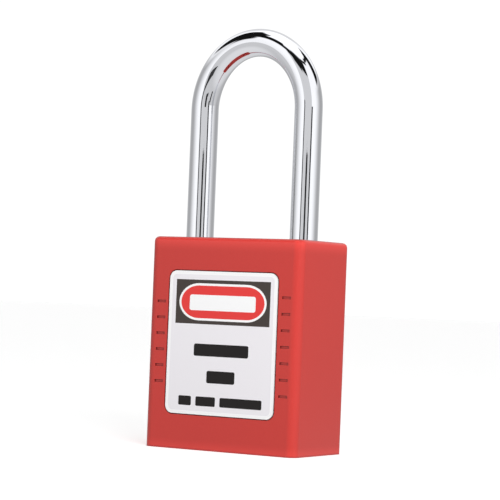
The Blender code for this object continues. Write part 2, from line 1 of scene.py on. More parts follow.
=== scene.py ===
"""Looks of the safety padlock: fine meshes, materials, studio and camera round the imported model.

Everything is in metres in the model's own frame: +Z up, front towards -Y, toe leg towards +X.
"""

import json
import math

import bmesh
import bpy
from mathutils import Matrix, Vector


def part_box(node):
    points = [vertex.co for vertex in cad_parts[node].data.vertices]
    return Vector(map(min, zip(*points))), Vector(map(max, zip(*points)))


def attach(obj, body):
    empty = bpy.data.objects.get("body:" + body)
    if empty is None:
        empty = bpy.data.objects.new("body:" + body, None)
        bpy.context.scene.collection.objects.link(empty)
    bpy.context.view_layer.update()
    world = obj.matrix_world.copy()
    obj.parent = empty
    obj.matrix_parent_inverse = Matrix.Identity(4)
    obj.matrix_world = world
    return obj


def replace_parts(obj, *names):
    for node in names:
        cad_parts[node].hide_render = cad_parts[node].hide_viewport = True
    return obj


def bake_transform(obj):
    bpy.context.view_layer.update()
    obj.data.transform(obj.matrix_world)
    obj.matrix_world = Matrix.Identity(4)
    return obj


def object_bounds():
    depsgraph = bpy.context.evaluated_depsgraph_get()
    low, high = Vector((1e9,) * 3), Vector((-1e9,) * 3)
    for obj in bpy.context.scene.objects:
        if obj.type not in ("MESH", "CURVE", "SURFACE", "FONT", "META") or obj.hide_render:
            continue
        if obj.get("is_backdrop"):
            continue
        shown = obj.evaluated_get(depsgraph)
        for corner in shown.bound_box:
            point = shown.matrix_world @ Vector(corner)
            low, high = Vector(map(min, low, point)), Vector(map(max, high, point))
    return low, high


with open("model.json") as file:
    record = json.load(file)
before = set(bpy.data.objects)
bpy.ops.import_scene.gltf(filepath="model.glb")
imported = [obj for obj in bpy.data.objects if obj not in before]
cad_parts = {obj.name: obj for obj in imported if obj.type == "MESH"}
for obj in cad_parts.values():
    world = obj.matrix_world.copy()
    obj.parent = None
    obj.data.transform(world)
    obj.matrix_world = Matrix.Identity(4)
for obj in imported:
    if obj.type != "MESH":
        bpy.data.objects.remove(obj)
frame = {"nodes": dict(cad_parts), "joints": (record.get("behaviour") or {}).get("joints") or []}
CAD_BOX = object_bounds()

MM = 0.001
NODES = frame["nodes"]

# Two places this close, in metres, are the same place.
NEAR = 1e-6

# The numbers of the lock's pins.
PINS = range(1, 7)

# The studio camera: its place, the way it looks, its up direction and its lens.
CAMERA_PLACE = Vector((235.63, -386.43, 32.57)) * MM
CAMERA_LOOK = Vector((-0.52071, 0.85344, 0.02255))
CAMERA_UP = Vector((-0.02218, -0.03993, 0.99896))
CAMERA_LENS_MM = 152.12
SENSOR_MM = 36.0

# Shackle, beyond what the frame gives: the arch's rise, the chamfer of its ends, the ring groove with its
# radius as a share of the bar's, and the bolt's notch. Heights of the groove are from the heel leg's end.
ARCH_RISE = 14.5 * MM
END_CHAMFER = 0.7 * MM
GROOVE_BOTTOM = 1.5 * MM
GROOVE_TOP = 2.5 * MM
GROOVE_SHARE = 0.75
NOTCH_DEPTH = 1.95 * MM
NOTCH_BOTTOM = 35.8 * MM
NOTCH_TOP = 39.7 * MM

# Labels: the step between print layers, the corner radius, the rounding of the rim, the white border round
# the panel, the panel's corner radius, and how much narrower a label is drawn than its CAD solid.
PRINT_STEP = 0.018 * MM
LABEL_CORNER = 1.7 * MM
LABEL_FILLET = 0.12 * MM
LABEL_BORDER_MM = 0.75
PANEL_CORNER_MM = 1.0
LABEL_TRIM = 0.22 * MM

# Faces that meet at more than SHARP_ANGLE degrees are shaded apart. Only edges over RIM_ANGLE are rounded.
SHARP_ANGLE = 35
RIM_ANGLE = 40

# How far the drawn edges of each piece are rounded.
BODY_ROUNDING = 0.1 * MM
COVER_ROUNDING = 0.15 * MM
PLUG_ROUNDING = 0.06 * MM
NOTCH_ROUNDING = 0.08 * MM

# How finely the shackle's bow is drawn: its sides, and its steps along the arch.
BOW_SIDES = 72
ARCH_STEPS = 96

# Light levels round the padlock: the side boxes at their front and rear ends, what the far end adds, the
# screens above them, the roof, the roof as matt surfaces see it, and the backdrop behind the padlock.
SIDE_FRONT = 1.12
SIDE_REAR = 0.43
FAR_END = 0.40
UPPER_SCREENS = 1.10
ROOF = 1.30
ROOF_LIGHT = 0.15
BACKDROP = 1.05

# The floor: its tone behind and in front of the padlock, what it gains close to it, its glow to the camera,
# half its width, and how far below the padlock it lies.
FLOOR_BEHIND = 0.46
FLOOR_AHEAD = 0.64
FLOOR_NEAR = 0.16
FLOOR_GLOW = 0.60
FLOOR_HALF_SIZE = 4.0
FLOOR_DROP = 0.02 * MM

# The key light: watts, size, azimuth and height in degrees, distance, and the point it faces.
KEY_POWER = 1.78
KEY_SIZE = 0.20
KEY_AZIMUTH = 16.0
KEY_HEIGHT = 13.0
KEY_DISTANCE = 0.5
KEY_TARGET = Vector((0, 0, 0.03))


# ---------------------------------------------------------------- node trees


class Net:
    """Adds nodes to a tree in short calls. Most calls return the new node's output socket."""

    def __init__(self, tree):
        self.tree = tree

    def put(self, socket, value):
        """Links a socket to another, or sets it to a constant."""
        if isinstance(value, bpy.types.NodeSocket):
            self.tree.links.new(value, socket)
        else:
            socket.default_value = value

    def node(self, kind, inputs=None, **settings):
        """Adds a node and returns it, not a socket."""
        made = self.tree.nodes.new(kind)
        for name, value in settings.items():
            setattr(made, name, value)
        for name, value in (inputs or {}).items():
            self.put(made.inputs[name], value)
        return made

    def math(self, operation, *values):
        made = self.node("ShaderNodeMath", operation=operation)
        for socket, value in zip(made.inputs, values):
            self.put(socket, value)
        return made.outputs[0]

    def rise(self, value, low, high, start=0.0, end=1.0):
        """A smooth step from start to end as value goes from low to high."""
        made = self.node(
            "ShaderNodeMapRange",
            {"Value": value, "From Min": low, "From Max": high, "To Min": start, "To Max": end},
            interpolation_type="SMOOTHSTEP",
        )
        return made.outputs["Result"]

    def between(self, value, low, high, soft):
        """1 inside a band and 0 outside it, with soft edges."""
        entering = self.rise(value, low - soft, low + soft)
        leaving = self.rise(value, high - soft, high + soft, 1.0, 0.0)
        return self.math("MULTIPLY", entering, leaving)

    def blend(self, level, share, target):
        """Moves a level towards a target by a share."""
        gap = self.math("SUBTRACT", target, level)
        return self.math("ADD", level, self.math("MULTIPLY", gap, share))

    def noise(self, scale, detail=3.0, roughness=0.5, vector=None):
        inputs = {"Scale": scale, "Detail": detail, "Roughness": roughness}
        if vector is not None:
            inputs["Vector"] = vector
        return self.node("ShaderNodeTexNoise", inputs).outputs["Fac"]

    def vector(self, operation, first, second=None):
        """A vector sum, product or the like. LENGTH and DOT_PRODUCT give a number."""
        inputs = {0: first} if second is None else {0: first, 1: second}
        made = self.node("ShaderNodeVectorMath", inputs, operation=operation)
        return made.outputs["Value" if operation in ("LENGTH", "DOT_PRODUCT") else "Vector"]

    def place(self):
        """The point on the object, in metres."""
        return self.node("ShaderNodeTexCoord").outputs["Object"]

    def stretched(self, stretch):
        """The point on the object with each axis stretched."""
        return self.vector("MULTIPLY", self.place(), stretch)

    def mix(self, share, first, second):
        """A colour between two."""
        made = self.node("ShaderNodeMix", data_type="RGBA")
        self.put(made.inputs[0], share)
        self.put(made.inputs[6], first)
        self.put(made.inputs[7], second)
        return made.outputs[2]

    def bump(self, height, distance, strength=1.0, after=None):
        inputs = {"Height": height, "Distance": distance, "Strength": strength}
        if after is not None:
            inputs["Normal"] = after
        return self.node("ShaderNodeBump", inputs).outputs["Normal"]


def material(name, metallic=0.0):
    """A new material: it, its net and its Principled shader."""
    made = bpy.data.materials.new(name)
    made.use_nodes = True
    shader = made.node_tree.nodes["Principled BSDF"]
    shader.inputs["Metallic"].default_value = metallic
    return made, Net(made.node_tree), shader


def rgb(red, green, blue):
    """A linear colour."""
    return (red, green, blue, 1.0)


# Colours of the nylon, the chrome, the brass and the studio.
RED_DARK = rgb(0.560, 0.036, 0.028)
RED_LIGHT = rgb(0.598, 0.040, 0.031)
RED_FLECK = rgb(0.69, 0.07, 0.055)
# Lighter red for the upright corners: partly rubbed wear, partly a painted highlight.
RED_CORNER_WEAR_AND_HIGHLIGHT = rgb(0.70, 0.044, 0.034)
# Painted highlight for the body's top and bottom rims.
RED_PAINTED_RIM_HIGHLIGHT = rgb(0.86, 0.064, 0.052)
# Painted shade for hollows, recess gaps and engravings.
RED_PAINTED_SHADE = rgb(0.12, 0.012, 0.012)
CHROME_LIGHT = rgb(0.885, 0.895, 0.932)
CHROME_DARK = rgb(0.845, 0.855, 0.892)
BRASS_BRIGHT = rgb(0.74, 0.55, 0.28)
BRASS_TARNISHED = rgb(0.60, 0.42, 0.20)
CARD_DARK = rgb(0.004, 0.004, 0.005)
CARD_LIGHT = rgb(0.01, 0.01, 0.012)
PAPER = rgb(0.93, 0.93, 0.93)
BLACK = rgb(0, 0, 0)
WHITE = rgb(1, 1, 1)


# ---------------------------------------------------------------- materials


def red_nylon():
    """Moulded nylon: spark-eroded grain, slow shrinkage waves, corners lighter from rubbing and a painted
    highlight, a painted highlight along the rims, and painted shade in hollows and recess gaps.
    """
    made, net, shader = material("red_nylon")
    cloud = net.noise(90, 2)
    fleck = net.noise(900, 3)
    corner, rim = near_edges(net)
    wear = net.rise(net.noise(700, 5, 0.65), 0.25, 0.60)
    # Painted shade: ambient occlusion darkens hollows, the gap round the labels and the engraved marks.
    occlusion_shade = net.node("ShaderNodeAmbientOcclusion", {"Distance": 0.7 * MM}, samples=8).outputs["AO"]
    colour = net.mix(cloud, RED_DARK, RED_LIGHT)
    colour = net.mix(net.rise(fleck, 0.62, 0.78, 0.0, 0.30), colour, RED_FLECK)
    # Upright corners lighter where worn: rubbed wear, and partly a painted highlight on the rounded corner.
    colour = net.mix(net.math("MULTIPLY", net.math("MULTIPLY", corner, wear), 0.25), colour, RED_CORNER_WEAR_AND_HIGHLIGHT)
    # Painted highlight: lighter red along the top rim, and half as strong along the bottom rim.
    colour = net.mix(net.math("MULTIPLY", rim, 0.9), colour, RED_PAINTED_RIM_HIGHLIGHT)
    colour = net.mix(net.rise(occlusion_shade, 0.30, 0.90, 0.90, 0.0), colour, RED_PAINTED_SHADE)
    grain_roughness = net.math("ADD", 0.33, net.math("MULTIPLY", fleck, 0.14))
    net.put(shader.inputs["Base Color"], colour)
    polish = net.math("MULTIPLY", net.math("MULTIPLY", net.math("MAXIMUM", corner, rim), wear), 0.08)
    net.put(shader.inputs["Roughness"], net.math("SUBTRACT", grain_roughness, polish))
    waves = net.bump(net.noise(130, 1), 0.05 * MM, 0.5)
    net.put(shader.inputs["Normal"], net.bump(net.noise(5200, 2), 0.008 * MM, 0.5, waves))
    return made


def near_edges(net):
    """Two shares: 1 along the body's upright corners, or along its rims, and 0 a little way off. The nylon
    uses them for its corner wear and its painted highlights.
    """
    low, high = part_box("body_shell")
    x, y, z = net.node("ShaderNodeSeparateXYZ", {0: net.place()}).outputs
    inward_x = net.math("SUBTRACT", high.x, net.math("ABSOLUTE", x))
    inward_y = net.math("SUBTRACT", high.y, net.math("ABSOLUTE", y))
    corner = net.rise(net.math("ADD", inward_x, inward_y), 0.9 * MM, 2.0 * MM, 1.0, 0.0)
    outside = net.rise(net.math("MINIMUM", inward_x, inward_y), 0.3 * MM, 1.0 * MM, 1.0, 0.0)
    top = net.rise(net.math("SUBTRACT", high.z, z), -0.4 * MM, 3.2 * MM, 1.0, 0.0)
    bottom = net.rise(net.math("SUBTRACT", z, low.z), 0.0, 2.4 * MM, 0.5, 0.0)
    rim = net.math("MULTIPLY", net.math("MAXIMUM", top, bottom), outside)
    return corner, rim


def printed(name, colour, roughness, tint, gloss=0.5):
    """Ink or vinyl under a clear laminate: slight unevenness of tone, and orange peel in the gloss."""
    made, net, shader = material(name)
    net.put(shader.inputs["Base Color"], net.mix(net.noise(700, 4), colour, tint))
    patches = net.math("MULTIPLY", net.noise(260, 3), 0.12)
    net.put(shader.inputs["Roughness"], net.math("ADD", roughness, patches))
    net.put(shader.inputs["Normal"], net.bump(net.noise(1500, 2), 0.006 * MM, 0.35))
    shader.inputs["Specular IOR Level"].default_value = gloss
    return made


def chrome():
    """Bright plating over drawn bar: long faint draw waves and hairline wiping marks."""
    made, net, shader = material("chrome_plate", metallic=1.0)
    hairlines = net.noise(2600, 4, 0.6, net.stretched((1, 1, 0.03)))
    net.put(shader.inputs["Base Color"], net.mix(net.noise(200, 2), CHROME_LIGHT, CHROME_DARK))
    net.put(shader.inputs["Roughness"], net.rise(hairlines, 0.3, 0.8, 0.018, 0.06))
    waves = net.bump(net.noise(240, 2, 0.5, net.stretched((1, 1, 0.35))), 0.03 * MM, 0.35)
    net.put(shader.inputs["Normal"], net.bump(hairlines, 0.002 * MM, 0.25, waves))
    return made


def metal(name, dark, light, roughness, grain, stretch=(1, 1, 1), depth=0.01 * MM):
    """A bare metal whose tone and roughness follow its grain. An axis stretched under 1 has long grain."""
    made, net, shader = material(name, metallic=1.0)
    lines = net.noise(grain, 5, 0.65, net.stretched(stretch))
    net.put(shader.inputs["Base Color"], net.mix(lines, dark, light))
    patches = net.noise(300, 3)
    spread = net.math("MULTIPLY", net.math("ADD", lines, patches), 0.12)
    net.put(shader.inputs["Roughness"], net.math("ADD", roughness - 0.1, spread))
    net.put(shader.inputs["Normal"], net.bump(lines, depth, 0.5))
    return made


def turned_brass():
    """Machined brass with fine turning rings about the plug's axis and a slow tarnish."""
    made, net, shader = material("turned_brass", metallic=1.0)
    ring_pitch = 0.16 * MM
    from_axis = net.vector("SUBTRACT", net.place(), plug_axis())
    radius = net.vector("LENGTH", net.vector("MULTIPLY", from_axis, (1, 1, 0)))
    rings = net.math("SINE", net.math("MULTIPLY", radius, 2 * math.pi / ring_pitch))
    tarnish = net.noise(420, 4)
    net.put(shader.inputs["Base Color"], net.mix(tarnish, BRASS_BRIGHT, BRASS_TARNISHED))
    net.put(shader.inputs["Roughness"], net.rise(tarnish, 0.3, 0.7, 0.22, 0.38))
    grain = net.bump(net.noise(2400, 4), 0.004 * MM, 0.5)
    net.put(shader.inputs["Normal"], net.bump(rings, 0.003 * MM, 0.5, grain))
    return made


def plug_axis():
    """A point on the axis that the plug turns about."""
    hinge = next(joint for joint in frame["joints"] if joint["name"] == "plug_turn")
    return Vector(hinge["pos_m"])


# ---------------------------------------------------------------- meshes


def new_piece(mesh, name, surface):
    """Turns a bmesh into a smooth object that isn't on a body yet."""
    data = bpy.data.meshes.new(name)
    bmesh.ops.recalc_face_normals(mesh, faces=mesh.faces)
    mesh.to_mesh(data)
    mesh.free()
    data.shade_smooth()
    data.materials.append(surface)
    piece = bpy.data.objects.new(name, data)
    bpy.context.scene.collection.objects.link(piece)
    return piece


def show(mesh, name, surface, body):
    """Makes a bmesh a piece on a body, smooth but for its sharp edges."""
    piece = new_piece(mesh, name, surface)
    piece.data.set_sharp_from_angle(angle=math.radians(SHARP_ANGLE))
    weighted = piece.modifiers.new("even shading", "WEIGHTED_NORMAL")
    weighted.keep_sharp = True
    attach(piece, body)
    return piece


def fine_copy(node, planes=(), width=0.0):
    """A welded copy of a CAD node, with the sharp edges that lie in the given planes rounded."""
    mesh = bmesh.new()
    mesh.from_mesh(NODES[node].data)
    bmesh.ops.remove_doubles(mesh, verts=mesh.verts, dist=NEAR)
    bmesh.ops.dissolve_limit(mesh, angle_limit=math.radians(0.5), verts=mesh.verts, edges=mesh.edges)
    rims = [edge for edge in mesh.edges if is_sharp(edge) and in_a_plane(edge, planes)]
    if rims:
        round_off(mesh, rims, width, 3, clamp_overlap=True)
    return mesh


def round_off(mesh, edges, width, steps, **more):
    """Rounds sharp edges."""
    bmesh.ops.bevel(mesh, geom=edges, offset=width, segments=steps, profile=0.5, affect="EDGES", **more)


def is_sharp(edge):
    return len(edge.link_faces) == 2 and edge.calc_face_angle() > math.radians(RIM_ANGLE)


def in_a_plane(edge, planes):
    """Whether an edge lies in one of the planes, each given as (axis, place)."""
    return any(all(abs(vert.co[axis] - place) < NEAR for vert in edge.verts) for axis, place in planes)


def body_shell(surface):
    low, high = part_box("body_shell")
    planes = ((1, low.y), (1, high.y), (2, low.z), (2, high.z))
    mesh = fine_copy("body_shell", planes, BODY_ROUNDING)
    piece = show(mesh, "shell_moulding", surface, "body")
    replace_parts(piece, "body_shell")


def bottom_cover(surface):
    low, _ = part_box("bottom_cover")
    mesh = fine_copy("bottom_cover", ((2, low.z),), COVER_ROUNDING)
    piece = show(mesh, "cover_moulding", surface, "body")
    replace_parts(piece, "bottom_cover")


def plug_core(surface):
    low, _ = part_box("plug")
    mesh = fine_copy("plug", ((2, low.z),), PLUG_ROUNDING)
    piece = show(mesh, "plug_core", surface, "plug")
    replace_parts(piece, "plug")


def shackle_stations():
    """Stations along the shackle from heel to toe: centre, heading in the XZ plane, and radius."""
    low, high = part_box("shackle")
    radius = high.y
    leg = high.x - radius
    arch_start = high.z - radius - ARCH_RISE
    toe_end = min(vert.co.z for vert in NODES["shackle"].data.vertices if vert.co.x > 0)
    wall = 0.03 * MM
    heel = [
        (low.z, radius - END_CHAMFER),
        (low.z + END_CHAMFER, radius),
        (low.z + GROOVE_BOTTOM, radius),
        (low.z + GROOVE_BOTTOM + wall, radius * GROOVE_SHARE),
        (low.z + GROOVE_TOP - wall, radius * GROOVE_SHARE),
        (low.z + GROOVE_TOP, radius),
    ]
    stations = [((-leg, height), math.pi / 2, size) for height, size in heel]
    for i in range(ARCH_STEPS + 1):
        turn = math.pi * (1 - i / ARCH_STEPS)
        centre = (leg * math.cos(turn), arch_start + ARCH_RISE * math.sin(turn))
        heading = math.atan2(-ARCH_RISE * math.cos(turn), leg * math.sin(turn))
        stations.append((centre, heading, radius))
    stations.append(((leg, toe_end + END_CHAMFER), -math.pi / 2, radius))
    stations.append(((leg, toe_end), -math.pi / 2, radius - END_CHAMFER))
    return stations


def shackle(surface):
    """The bow as one fine tube, with the bolt's notch cut in its toe leg."""
    mesh = bmesh.new()
    rings = []
    for (x, z), heading, radius in shackle_stations():
        across = Vector((-math.sin(heading), 0, math.cos(heading)))
        ring = []
        for i in range(BOW_SIDES):
            turn = 2 * math.pi * i / BOW_SIDES
            offset = across * math.cos(turn) + Vector((0, 1, 0)) * math.sin(turn)
            ring.append(mesh.verts.new(Vector((x, 0, z)) + offset * radius))
        rings.append(ring)
    for first, second in zip(rings, rings[1:]):
        for i in range(BOW_SIDES):
            mesh.faces.new((first[i - 1], first[i], second[i], second[i - 1]))
    mesh.faces.new(rings[0])
    mesh.faces.new(rings[-1])
    cut_notch(mesh)
    piece = show(mesh, "shackle_bow", surface, "shackle")
    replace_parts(piece, "shackle")


def cut_notch(mesh):
    """Cuts the square notch for the bolt in the inner side of the toe leg."""
    _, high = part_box("shackle")
    inner = high.x - 2 * high.y
    beyond = 2 * high.y
    notch = bmesh.new()
    corners = bmesh.ops.create_cube(notch, size=1.0)["verts"]
    for vert in corners:
        vert.co.x = inner + NOTCH_DEPTH if vert.co.x > 0 else inner - beyond
        vert.co.y = math.copysign(beyond, vert.co.y)
        vert.co.z = NOTCH_TOP if vert.co.z > 0 else NOTCH_BOTTOM
    bow, cutter = loose_object("bow", mesh), loose_object("notch", notch)
    boolean = bow.modifiers.new("notch", "BOOLEAN")
    boolean.operation = "DIFFERENCE"
    boolean.solver = "EXACT"
    boolean.object = cutter
    graph = bpy.context.evaluated_depsgraph_get()
    notched = bow.evaluated_get(graph).to_mesh()
    mesh.clear()
    mesh.from_mesh(notched)
    for helper in (bow, cutter):
        bpy.data.meshes.remove(helper.data)
    rims = [edge for edge in mesh.edges if is_sharp(edge) and in_the_notch(edge, inner)]
    round_off(mesh, rims, NOTCH_ROUNDING, 2)


def in_the_notch(edge, inner):
    """Whether an edge is one of the notch's own, where inner is the toe leg's inner side."""
    floor = inner + NOTCH_DEPTH + NEAR
    bottom, top = NOTCH_BOTTOM - NEAR, NOTCH_TOP + NEAR
    return all(bottom < vert.co.z < top and inner < vert.co.x < floor for vert in edge.verts)


def loose_object(name, mesh):
    """An object that holds a copy of a bmesh for a moment."""
    mesh.normal_update()
    bmesh.ops.recalc_face_normals(mesh, faces=mesh.faces)
    data = bpy.data.meshes.new(name)
    mesh.to_mesh(data)
    made = bpy.data.objects.new(name, data)
    bpy.context.scene.collection.objects.link(made)
    return made


def coil(node, surface):
    """A spring drawn as a fine copy of its CAD node, in its place. It is not put on any body."""
    piece = new_piece(fine_copy(node), f"{node}_coil", surface)
    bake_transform(piece)
    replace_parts(piece, node)


def springs(surface):
    """One spring stands on the cover under the heel leg. The others lie behind the driver pins."""
    coil("shackle_spring", surface)
    for number in PINS:
        coil(f"pin_spring_{number}", surface)


def rounded_outline(centre_x, centre_z, width, height, radius, reach=None):
    """Points round a rectangle in the XZ plane. Its corners are round, or stretched along X by a reach."""
    reach = reach or radius
    steps = 10
    points = []
    corners = ((1, 1, 0), (-1, 1, 90), (-1, -1, 180), (1, -1, 270))
    for side_x, side_z, start in corners:
        x = centre_x + side_x * (width / 2 - reach)
        z = centre_z + side_z * (height / 2 - radius)
        for i in range(steps + 1):
            turn = math.radians(start + 90 * i / steps)
            points.append((x + reach * math.cos(turn), z + radius * math.sin(turn)))
    return points


def plate(outline, face_y, back_y, fillet):
    """A flat plate in the XZ plane from its face to its back, with the rim of its face rounded."""
    mesh = bmesh.new()
    front = [mesh.verts.new((x, face_y, z)) for x, z in outline]
    back = [mesh.verts.new((x, back_y, z)) for x, z in outline]
    mesh.faces.new(front)
    mesh.faces.new(back)
    for i in range(len(outline)):
        mesh.faces.new((front[i - 1], front[i], back[i], back[i - 1]))
    if fillet:
        rim = [edge for edge in mesh.edges if in_a_plane(edge, ((1, face_y),))]
        round_off(mesh, rim, fillet, 3)
    return mesh


class Label:
    """A laminated label in one of the recesses, with its print in thin layers."""

    def __init__(self, node, side, rim, vinyl):
        self.name = node
        self.low, self.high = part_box(node)
        self.side = side
        self.face = self.high.y if side > 0 else self.low.y
        back = self.low.y if side > 0 else self.high.y
        size = self.high - self.low - Vector((LABEL_TRIM, 0, 0))
        centre = (self.low + self.high + Vector((side * LABEL_TRIM, 0, 0))) / 2
        outline = rounded_outline(centre.x, centre.z, size.x, size.z, LABEL_CORNER)
        mesh = plate(outline, self.face, back, LABEL_FILLET)
        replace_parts(show(mesh, f"{node}_base", rim, "body"), node)
        x, z = -side * centre.x / MM, centre.z / MM
        width = size.x / MM - 2 * LABEL_BORDER_MM
        height = size.z / MM - 2 * LABEL_BORDER_MM
        self.ink("panel", vinyl, 0.5, x, z, width, height, PANEL_CORNER_MM)

    def ink(self, name, surface, layer, x, z, width, height, radius, reach=None):
        """One printed shape, in millimetres as a reader sees it: middle, size, corner radius and reach."""
        sizes = [size * MM for size in (-self.side * x, z, width, height, radius, reach or radius)]
        outline = rounded_outline(*sizes)
        top = self.face + self.side * layer * PRINT_STEP
        mesh = plate(outline, top, self.face - self.side * PRINT_STEP, 0)
        show(mesh, f"{self.name}_{name}", surface, "body")


def front_label(vinyl, header, dark, white, red):
    """A dark header with a red capsule and a plain white bar, over three rows of plain dark bars."""
    label = Label("label_front", -1, white, vinyl)
    label.ink("header", header, 1, -0.05, 31.28, 23.3, 9.35, 0.05)
    label.ink("keyline", white, 2, -0.05, 31.28, 21.6, 7.85, 3.92, 4.9)
    label.ink("capsule", red, 3, -0.05, 31.28, 20.6, 6.9, 3.45, 4.4)
    label.ink("title_bar", white, 4, -0.05, 31.13, 16.3, 3.3, 0.5)
    label.ink("row_1_bar", dark, 1, 0.0, 21.16, 13.5, 2.6, 0.4)
    label.ink("row_2_bar", dark, 1, 0.13, 15.53, 6.95, 2.6, 0.4)
    for number, (left, right) in enumerate(((-10.15, -6.98), (-5.85, -0.98), (0.15, 10.43)), start=1):
        label.ink(f"row_3_bar_{number}", dark, 1, (left + right) / 2, 10.33, right - left, 2.0, 0.3)


def back_label(vinyl, header, dark, white):
    """A dark header over ruled lines for the owner to fill in."""
    label = Label("label_back", 1, white, vinyl)
    label.ink("header", header, 1, 0, 33.2, 23.3, 5.0, 0.4)
    for number in range(3):
        height = 25.5 - number * 6.4
        label.ink(f"field_bar_{number + 1}", dark, 1, -9.2, height + 0.9, 4.8, 1.3, 0.25)
        label.ink(f"field_line_{number + 1}", dark, 1, 2.6, height, 18.0, 0.25, 0.05)


# ---------------------------------------------------------------- carried-over nodes


def dress(surface, *names):
    """Gives CAD nodes a finished material."""
    for name in names:
        materials = NODES[name].data.materials
        materials.clear()
        materials.append(surface)


# ---------------------------------------------------------------- studio


def make_camera():
    data = bpy.data.cameras.new("camera")
    data.sensor_width = SENSOR_MM
    data.lens = CAMERA_LENS_MM
    data.clip_start = 0.01
    data.clip_end = 20.0
    camera = bpy.data.objects.new("camera", data)
    right = CAMERA_LOOK.cross(CAMERA_UP).normalized()
    up = right.cross(CAMERA_LOOK).normalized()
    turn = Matrix((right, up, -CAMERA_LOOK.normalized())).transposed()
    camera.matrix_world = Matrix.Translation(CAMERA_PLACE) @ turn.to_4x4()
    bpy.context.scene.collection.objects.link(camera)
    bpy.context.scene.camera = camera


def flat_sheet(name, corners, surface):
    """A flat four-sided sheet that belongs to the studio, not to the padlock."""
    mesh = bmesh.new()
    mesh.faces.new([mesh.verts.new(corner) for corner in corners])
    data = bpy.data.meshes.new(name)
    mesh.to_mesh(data)
    mesh.free()
    data.materials.append(surface)
    sheet = bpy.data.objects.new(name, data)
    bpy.context.scene.collection.objects.link(sheet)
    sheet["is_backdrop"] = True
    return sheet


def make_floor():
    """A wide floor just under the padlock. The camera sees white paper, and nothing from below."""
    made, net, shader = material("floor_paper")
    path = net.node("ShaderNodeLightPath").outputs
    seen = path["Is Camera Ray"]
    lamp = net.math("MULTIPLY", floor_tone(net, path["Is Diffuse Ray"]), net.math("SUBTRACT", 1.0, seen))
    glow = net.math("MULTIPLY", seen, FLOOR_GLOW)
    net.put(shader.inputs["Base Color"], net.mix(seen, BLACK, PAPER))
    net.put(shader.inputs["Emission Color"], WHITE)
    net.put(shader.inputs["Emission Strength"], net.math("ADD", lamp, glow))
    shader.inputs["Roughness"].default_value = 0.9
    shader.inputs["Specular IOR Level"].default_value = 0.0
    clear = net.node("ShaderNodeBsdfTransparent").outputs["BSDF"]
    under = net.node("ShaderNodeNewGeometry").outputs["Backfacing"]
    one_sided = net.node("ShaderNodeMixShader", {0: under, 1: shader.outputs["BSDF"], 2: clear})
    net.put(made.node_tree.nodes["Material Output"].inputs["Surface"], one_sided.outputs["Shader"])
    half = FLOOR_HALF_SIZE
    corners = ((-half, -half), (half, -half), (half, half), (-half, half))
    flat_sheet("floor", [(x, y, -FLOOR_DROP) for x, y in corners], made)


def floor_tone(net, matt):
    """How bright the floor looks to the padlock: most of all in front of it. Its matt surfaces see less."""
    place = net.place()
    ahead = net.vector("DOT_PRODUCT", place, studio_azimuth(0))
    radius = net.vector("LENGTH", place)
    tone = net.rise(ahead, -0.25, 0.10, FLOOR_BEHIND, FLOOR_AHEAD)
    tone = net.math("ADD", tone, net.rise(radius, 0.08, 0.20, FLOOR_NEAR, 0.0))
    tone = net.math("MULTIPLY", tone, net.rise(net.noise(30, 3), 0.2, 0.8, 0.97, 1.03))
    shade = net.math("MULTIPLY", net.rise(radius, 0.03, 0.16, 0.70, 0.30), matt)
    return net.math("MULTIPLY", tone, net.math("SUBTRACT", 1.0, shade))


def studio_azimuth(degrees):
    """A direction along the floor from the padlock, by its degrees to the right of the camera."""
    turn = math.atan2(CAMERA_PLACE.x, -CAMERA_PLACE.y) + math.radians(degrees)
    return Vector((math.sin(turn), -math.cos(turn), 0))


# Dark things that stand on the floor, in degrees and metres: name, azimuth, distance, half the angle that
# each covers, and height.
UPRIGHT_CARDS = (
    ("camera_body", 0.0, 0.52, 6.5, 0.099),
    ("left_stand", -33.5, 0.80, 3.2, 0.185),
    ("right_stand", 28.0, 0.80, 4.8, 0.165),
)

# Dark streaks that lie on the floor, in degrees and metres: name, and each corner's azimuth and distance.
LYING_CARDS = (
    ("left_floor_streak", ((-43, 0.70), (-28, 1.00), (-20, 0.21), (-31, 0.19))),
    ("right_floor_streak", ((29, 0.90), (39, 0.90), (41, 0.205), (32, 0.205))),
    ("front_floor_streak", ((-3, 0.52), (9, 0.52), (9, 0.36), (3, 0.36))),
)


def make_cards():
    """Dark things round the padlock that only its bright metal shows: the camera and stands, and dark
    streaks on the floor.
    """
    made, net, shader = material("black_card")
    net.put(shader.inputs["Base Color"], net.mix(net.noise(40, 2), CARD_DARK, CARD_LIGHT))
    shader.inputs["Roughness"].default_value = 0.8
    cards = []
    for name, azimuth, distance, half_angle, height in UPRIGHT_CARDS:
        left = studio_azimuth(azimuth - half_angle) * distance
        right = studio_azimuth(azimuth + half_angle) * distance
        rise = Vector((0, 0, height))
        cards.append(flat_sheet(name, (left, right, right + rise, left + rise), made))
    above = Vector((0, 0, 0.5 * MM))
    for name, places in LYING_CARDS:
        corners = [studio_azimuth(azimuth) * distance + above for azimuth, distance in places]
        cards.append(flat_sheet(name, corners, made))
    for card in cards:
        card.visible_camera = False
        card.visible_diffuse = False
        card.visible_shadow = False


